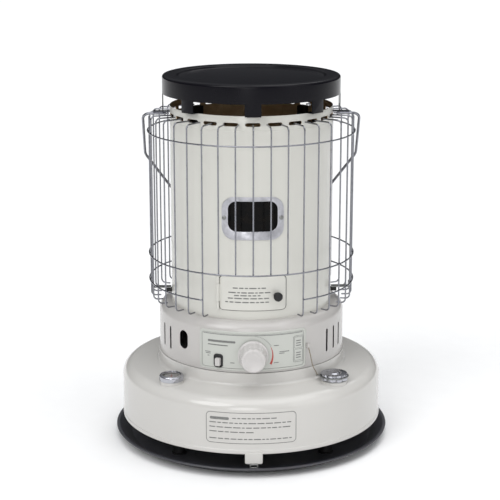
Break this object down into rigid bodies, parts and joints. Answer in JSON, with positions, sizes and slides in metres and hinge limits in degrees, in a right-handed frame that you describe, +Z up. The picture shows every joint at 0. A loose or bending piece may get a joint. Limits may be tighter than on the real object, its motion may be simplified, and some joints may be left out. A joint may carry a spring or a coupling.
{
  "type": "kerosene heater",
  "caption": "Free-standing round convection kerosene heater with a white casing in a wire guard, a wide fuel tank on a drip tray, a wick knob, a lighting door and a bail handle.",
  "frame": {"origin": "centre of the drip tray's underside, on the floor", "axes": "+Z up, the front with the knob faces -Y, +X to the right seen from the front"},
  "size_m": [0.4599, 0.46, 0.6076],
  "materials": {
    "white_enamel": "gloss",
    "dark_enamel": "gloss",
    "black_enamel": "gloss",
    "chrome": "polished",
    "zinc_steel": "satin",
    "frame_grey": "satin",
    "heat_tinted_steel": "satin",
    "mica": "gloss",
    "clear_glass": "polished",
    "black_plastic": "matte",
    "red_plastic": "matte",
    "float_plastic": "matte",
    "rubber": "matte",
    "brass": "satin",
    "glass_fibre": "matte",
    "cord": "matte"
  },
  "bodies": {
    "root": {"burner_housing": "white_enamel", "burner_plate": "zinc_steel", "button_bezel": "black_plastic", "cap_tether": "cord", "control_panel": "white_enamel", "door_hinge": "white_enamel", "draft_tube": "zinc_steel", "drip_tray": "dark_enamel", "filler_neck": "zinc_steel", "gauge_bezel": "chrome", "gauge_body": "zinc_steel", "gauge_glass": "clear_glass", "guard_studs": "black_enamel", "guard_wires_front": "chrome", "guard_wires_left": "chrome", "guard_wires_right": "chrome", "inner_liner": "heat_tinted_steel", "liner_brackets": "black_enamel", "lower_guard_brackets": "zinc_steel", "lower_ring": "chrome", "mica_window": "mica", "middle_ring": "chrome", "outer_casing": "white_enamel", "return_spring": "zinc_steel", "safety_bracket": "zinc_steel", "shaft_bushing": "brass", "side_brackets": "chrome", "tank_bottom": "zinc_steel", "tank_lock_tab": "white_enamel", "tank_shell": "white_enamel", "tank_supports": "dark_enamel", "tether_anchor": "zinc_steel", "top_plate": "black_enamel", "tray_hook": "zinc_steel", "upper_ring": "chrome", "wick_tube": "zinc_steel", "window_frame": "frame_grey", "window_screws": "zinc_steel"},
    "bail": {"bail_handle": "chrome"},
    "knob": {"wick_knob": "white_enamel", "pinion_shaft": "zinc_steel", "ratchet_wheel": "zinc_steel"},
    "wick_carrier": {"wick": "glass_fibre", "wick_holder": "zinc_steel"},
    "button": {"stop_button": "white_enamel", "button_spring": "zinc_steel"},
    "latch": {"latch_lever": "zinc_steel"},
    "tip_pendulum": {"tip_weight": "zinc_steel"},
    "door": {"lighting_door": "white_enamel", "door_knob": "black_enamel"},
    "cap_collar": {"tether_ring": "zinc_steel"},
    "cap": {"filler_cap": "chrome", "cap_gasket": "rubber"},
    "float": {"float_arm": "zinc_steel", "fuel_float": "float_plastic"},
    "needle": {"gauge_needle": "red_plastic"},
    "chamber": {"inner_flame_tube": "zinc_steel", "outer_flame_tube": "zinc_steel", "flame_spreader": "zinc_steel", "chamber_handle": "zinc_steel"}
  },
  "joints": [
    {"name": "bail_swing", "type": "hinge", "parent": "root", "child": "bail", "pos_m": [0, 0, 0.5434], "axis": [1, 0, 0], "range_deg": [0, 284]},
    {"name": "knob_turn", "type": "hinge", "parent": "root", "child": "knob", "pos_m": [0, -0.158, 0.1796], "axis": [0, 1, 0], "range_deg": [0, 200]},
    {"name": "wick_lift", "type": "slide", "parent": "root", "child": "wick_carrier", "axis": [0, 0, 1], "range_m": [0, 0.028]},
    {"name": "button_press", "type": "slide", "parent": "root", "child": "button", "axis": [0.3551, 0.9348, 0], "range_m": [0, 0.0045], "stiffness_N_per_m": 400, "springref_m": -0.002},
    {"name": "latch_swing", "type": "hinge", "parent": "root", "child": "latch", "pos_m": [-0.03, -0.0998, 0.16], "axis": [0, -1, 0], "range_deg": [0, 12]},
    {"name": "tip_swing", "type": "hinge", "parent": "root", "child": "tip_pendulum", "pos_m": [0.045, -0.0998, 0.2], "axis": [0, 1, 0], "range_deg": [-12, 12]},
    {"name": "door_swing", "type": "hinge", "parent": "root", "child": "door", "pos_m": [-0.05595, -0.1245, 0.27425], "axis": [0, 0, -1], "range_deg": [0, 100]},
    {"name": "cap_lift", "type": "slide", "parent": "root", "child": "cap_collar", "axis": [0, 0, 1], "range_m": [0, 0.03], "deforming": ["cap_tether"]},
    {"name": "cap_turn", "type": "hinge", "parent": "cap_collar", "child": "cap", "pos_m": [0.13124, -0.12897, 0.134], "axis": [0, 0, 1], "range_deg": [0, 120]},
    {"name": "float_swing", "type": "hinge", "parent": "root", "child": "float", "pos_m": [-0.13101, -0.1292, 0.091], "axis": [1, 0, 0], "range_deg": [0, 22]},
    {"name": "needle_turn", "type": "hinge", "parent": "root", "child": "needle", "pos_m": [-0.13101, -0.1292, 0.129], "axis": [0, 0, -1], "range_deg": [0, 100]},
    {"name": "chamber_turn", "type": "hinge", "parent": "root", "child": "chamber", "pos_m": [0, 0, 0.224], "axis": [0, 0, 1], "range_deg": [-8, 8]}
  ],
  "couplings": [
    {"joint": "wick_lift", "follows": "knob_turn", "m_per_rad": 0.008},
    {"joint": "latch_swing", "follows": "button_press", "rad_per_m": 46},
    {"joint": "needle_turn", "follows": "float_swing", "ratio": 4.5}
  ]
}
